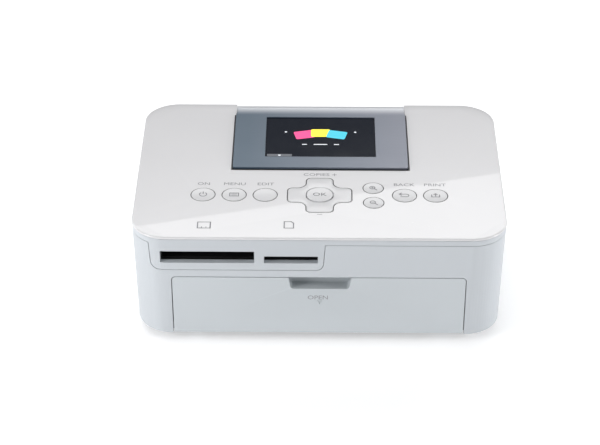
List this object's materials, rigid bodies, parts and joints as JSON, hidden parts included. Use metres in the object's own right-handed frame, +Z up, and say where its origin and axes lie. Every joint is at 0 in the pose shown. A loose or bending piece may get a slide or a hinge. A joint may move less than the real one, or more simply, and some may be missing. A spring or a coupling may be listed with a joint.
{
  "type": "compact photo printer",
  "caption": "Compact box-shaped photo printer with a tilting colour screen, a key row, front card slots and a fold-down paper door.",
  "frame": {"origin": "on the table under the middle of the printer", "axes": "+X to the right, +Y to the rear, +Z up, seen from the front"},
  "size_m": [0.178, 0.127, 0.0605],
  "materials": {
    "white_gloss": "glossy white top shell",
    "case_light": "satin light grey-white casing",
    "case_white": "satin white casing",
    "base_grey": "matte dark grey base",
    "rubber_black": "matte black rubber",
    "key_white": "satin white key caps",
    "screen_grey": "metallic blue-grey paint",
    "shell_dark": "matte dark grey housing",
    "screen_black": "dark glossy display window",
    "inner_grey": "moulded grey plastic",
    "membrane": "translucent silicone sheet",
    "board_green": "green circuit board lacquer",
    "chip_black": "black moulded chip packages",
    "steel": "zinc-plated sheet steel",
    "shaft_steel": "ground steel",
    "black_plastic": "black plastic",
    "flex_amber": "pale flat cable",
    "roller_rubber": "dark rubber sleeve",
    "gear_ivory": "acetal gear plastic",
    "brass": "brass pinion",
    "aluminium": "extruded aluminium",
    "motor_steel": "plated motor can",
    "ceramic": "ceramic print head bar",
    "cassette_grey": "dark grey cassette plastic",
    "spool_plastic": "black spool with wound film"
  },
  "bodies": {
    "printer": {"top_cover": "white_gloss", "upper_case": "case_light", "lower_case": "case_white", "base_plate": "base_grey", "rubber_feet": "rubber_black", "paper_door_pins": "shaft_steel", "ink_door_pins": "shaft_steel", "lcd_hinge_pins": "shaft_steel", "keypad_membrane": "membrane", "control_board": "board_green", "key_switches": "chip_black", "main_board": "board_green", "board_components": "chip_black", "cf_card_socket": "steel", "sd_card_socket": "steel", "dc_jack": "black_plastic", "usb_socket": "steel", "lcd_flex_cable": "flex_amber", "chassis_left_plate": "steel", "chassis_right_plate": "steel", "chassis_tie_plate": "steel", "idler_pin": "shaft_steel", "feed_motor": "motor_steel", "gear_bracket": "steel", "head_pivot_shaft": "shaft_steel", "ribbon_motor": "motor_steel", "ink_cassette_shell": "cassette_grey", "fan_frame": "black_plastic", "case_screws": "steel"},
    "screen": {"lcd_bezel": "screen_grey", "lcd_back_shell": "shell_dark", "lcd_screen": "screen_black"},
    "paper_door": {"paper_door": "case_light"},
    "ink_door": {"ink_door": "case_white"},
    "power_key": {"power_button": "key_white"},
    "menu_key": {"menu_button": "key_white"},
    "edit_key": {"edit_button": "key_white"},
    "zoom_in_key": {"zoom_in_button": "key_white"},
    "zoom_out_key": {"zoom_out_button": "key_white"},
    "back_key": {"back_button": "key_white"},
    "print_key": {"print_button": "key_white"},
    "ok_key": {"ok_button": "key_white"},
    "rocker_ring": {"dpad_carrier": "inner_grey"},
    "four_way_key": {"dpad": "key_white"},
    "print_head": {"head_arm": "steel", "thermal_head": "ceramic", "heat_sink": "aluminium"},
    "platen": {"platen_roller": "roller_rubber", "platen_gear": "gear_ivory"},
    "capstan": {"capstan_roller": "shaft_steel", "capstan_gear": "gear_ivory"},
    "idler": {"idler_gear": "gear_ivory"},
    "feed_pinion": {"feed_motor_pinion": "brass"},
    "pinch": {"pinch_roller": "roller_rubber"},
    "pickup": {"pickup_roller": "roller_rubber"},
    "takeup": {"takeup_spool": "spool_plastic", "ribbon_gear": "gear_ivory"},
    "ribbon_pinion": {"ribbon_motor_pinion": "brass"},
    "supply": {"supply_spool": "spool_plastic"},
    "fan": {"fan_rotor": "black_plastic"}
  },
  "joints": [
    {"name": "screen_tilt", "type": "hinge", "parent": "printer", "child": "screen", "pos_m": [0, 0.0571, 0.0541], "axis": [-1, 0, 0], "range_deg": [0, 45]},
    {"name": "paper_door_swing", "type": "hinge", "parent": "printer", "child": "paper_door", "pos_m": [0, -0.059, 0.0068], "axis": [1, 0, 0], "range_deg": [0, 90]},
    {"name": "ink_door_swing", "type": "hinge", "parent": "printer", "child": "ink_door", "pos_m": [0.083, 0.003, 0.0068], "axis": [0, 1, 0], "range_deg": [0, 88]},
    {"name": "power_press", "type": "slide", "parent": "printer", "child": "power_key", "axis": [0, 0, 1], "range_m": [-0.0005, 0], "stiffness_N_per_m": 800},
    {"name": "menu_press", "type": "slide", "parent": "printer", "child": "menu_key", "axis": [0, 0, 1], "range_m": [-0.0005, 0], "stiffness_N_per_m": 800},
    {"name": "edit_press", "type": "slide", "parent": "printer", "child": "edit_key", "axis": [0, 0, 1], "range_m": [-0.0005, 0], "stiffness_N_per_m": 800},
    {"name": "zoom_in_press", "type": "slide", "parent": "printer", "child": "zoom_in_key", "axis": [0, 0, 1], "range_m": [-0.0005, 0], "stiffness_N_per_m": 800},
    {"name": "zoom_out_press", "type": "slide", "parent": "printer", "child": "zoom_out_key", "axis": [0, 0, 1], "range_m": [-0.0005, 0], "stiffness_N_per_m": 800},
    {"name": "back_press", "type": "slide", "parent": "printer", "child": "back_key", "axis": [0, 0, 1], "range_m": [-0.0005, 0], "stiffness_N_per_m": 800},
    {"name": "print_press", "type": "slide", "parent": "printer", "child": "print_key", "axis": [0, 0, 1], "range_m": [-0.0005, 0], "stiffness_N_per_m": 800},
    {"name": "ok_press", "type": "slide", "parent": "printer", "child": "ok_key", "axis": [0, 0, 1], "range_m": [-0.0005, 0], "stiffness_N_per_m": 800},
    {"name": "four_way_fore_aft", "type": "hinge", "parent": "printer", "child": "rocker_ring", "pos_m": [0.0002, -0.0254, 0.05515], "axis": [1, 0, 0], "range_deg": [-1.6, 1.6], "stiffness_Nm_per_rad": 0.3},
    {"name": "four_way_side", "type": "hinge", "parent": "rocker_ring", "child": "four_way_key", "pos_m": [0.0002, -0.0254, 0.05515], "axis": [0, 1, 0], "range_deg": [-1.6, 1.6], "stiffness_Nm_per_rad": 0.3},
    {"name": "head_lift", "type": "hinge", "parent": "printer", "child": "print_head", "pos_m": [0, -0.008, 0.0482], "axis": [1, 0, 0], "range_deg": [0, 5]},
    {"name": "platen_spin", "type": "hinge", "parent": "printer", "child": "platen", "pos_m": [0, 0.02, 0.014], "axis": [1, 0, 0], "continuous": true},
    {"name": "capstan_spin", "type": "hinge", "parent": "printer", "child": "capstan", "pos_m": [0, 0.0536, 0.016], "axis": [1, 0, 0], "continuous": true},
    {"name": "idler_spin", "type": "hinge", "parent": "printer", "child": "idler", "pos_m": [0, 0.03716, 0.01944], "axis": [1, 0, 0], "continuous": true},
    {"name": "feed_pinion_spin", "type": "hinge", "parent": "printer", "child": "feed_pinion", "pos_m": [0, 0.01046, 0.01907], "axis": [1, 0, 0], "continuous": true},
    {"name": "pinch_spin", "type": "hinge", "parent": "printer", "child": "pinch", "pos_m": [0, 0.0536, 0.0235], "axis": [1, 0, 0], "continuous": true},
    {"name": "pickup_spin", "type": "hinge", "parent": "printer", "child": "pickup", "pos_m": [0, -0.03, 0.03], "axis": [1, 0, 0], "continuous": true},
    {"name": "takeup_spin", "type": "hinge", "parent": "printer", "child": "takeup", "pos_m": [0, 0.04, 0.033], "axis": [1, 0, 0], "continuous": true},
    {"name": "ribbon_pinion_spin", "type": "hinge", "parent": "printer", "child": "ribbon_pinion", "pos_m": [0, 0.02816, 0.03731], "axis": [1, 0, 0], "continuous": true},
    {"name": "supply_spin", "type": "hinge", "parent": "printer", "child": "supply", "pos_m": [0, -0.004, 0.033], "axis": [1, 0, 0], "continuous": true},
    {"name": "fan_spin", "type": "hinge", "parent": "printer", "child": "fan", "pos_m": [0, -0.015, 0.022], "axis": [1, 0, 0], "continuous": true}
  ],
  "couplings": [
    {"joint": "capstan_spin", "follows": "platen_spin", "ratio": 1.2},
    {"joint": "idler_spin", "follows": "platen_spin", "ratio": -0.66667},
    {"joint": "feed_pinion_spin", "follows": "platen_spin", "ratio": -2},
    {"joint": "pinch_spin", "follows": "platen_spin", "ratio": -1.5},
    {"joint": "ribbon_pinion_spin", "follows": "takeup_spin", "ratio": -2.5},
    {"joint": "supply_spin", "follows": "takeup_spin", "ratio": 0.7381}
  ]
}
